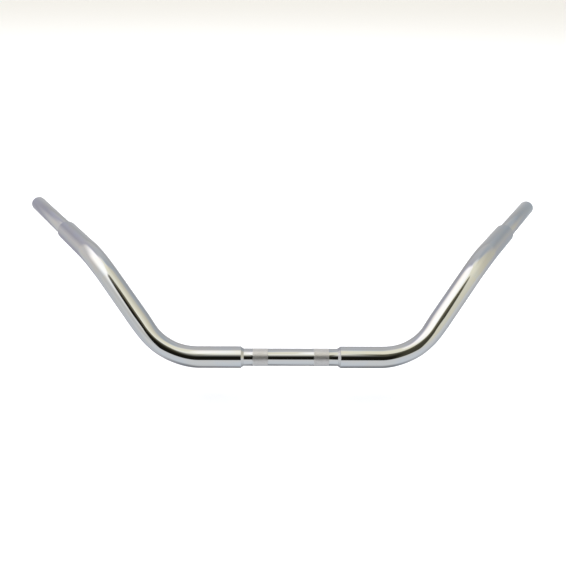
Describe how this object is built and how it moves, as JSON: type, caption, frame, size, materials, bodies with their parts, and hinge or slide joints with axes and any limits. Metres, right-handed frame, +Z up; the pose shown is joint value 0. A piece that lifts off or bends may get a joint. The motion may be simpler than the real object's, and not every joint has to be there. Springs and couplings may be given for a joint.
{
  "type": "motorcycle handlebar",
  "caption": "Chromed motorcycle handlebar: fat twice-bent side tubes, thin knurled clamp tube at the middle and thin level grip ends swept back.",
  "frame": {"origin": "middle of the clamp tube, on its axis, halfway between the two riser seats", "axes": "+X along the clamp tube to the rider's left, +Y back to the rider, +Z up with both grips level"},
  "size_m": [0.9276, 0.3788, 0.1465],
  "materials": {
    "chrome": "mirror-polished chrome plate on bent steel tube",
    "knurled_chrome": "chrome plate, mirror on the bare tube and matte on the two diamond-knurled seats",
    "weld_chrome": "ground weld under chrome plate"
  },
  "bodies": {
    "root": {"clamp_tube": "knurled_chrome", "left_main_tube": "chrome", "right_main_tube": "chrome", "left_grip_tube": "chrome", "right_grip_tube": "chrome", "left_clamp_weld": "weld_chrome", "right_clamp_weld": "weld_chrome", "left_grip_weld": "weld_chrome", "right_grip_weld": "weld_chrome"}
  },
  "joints": []
}
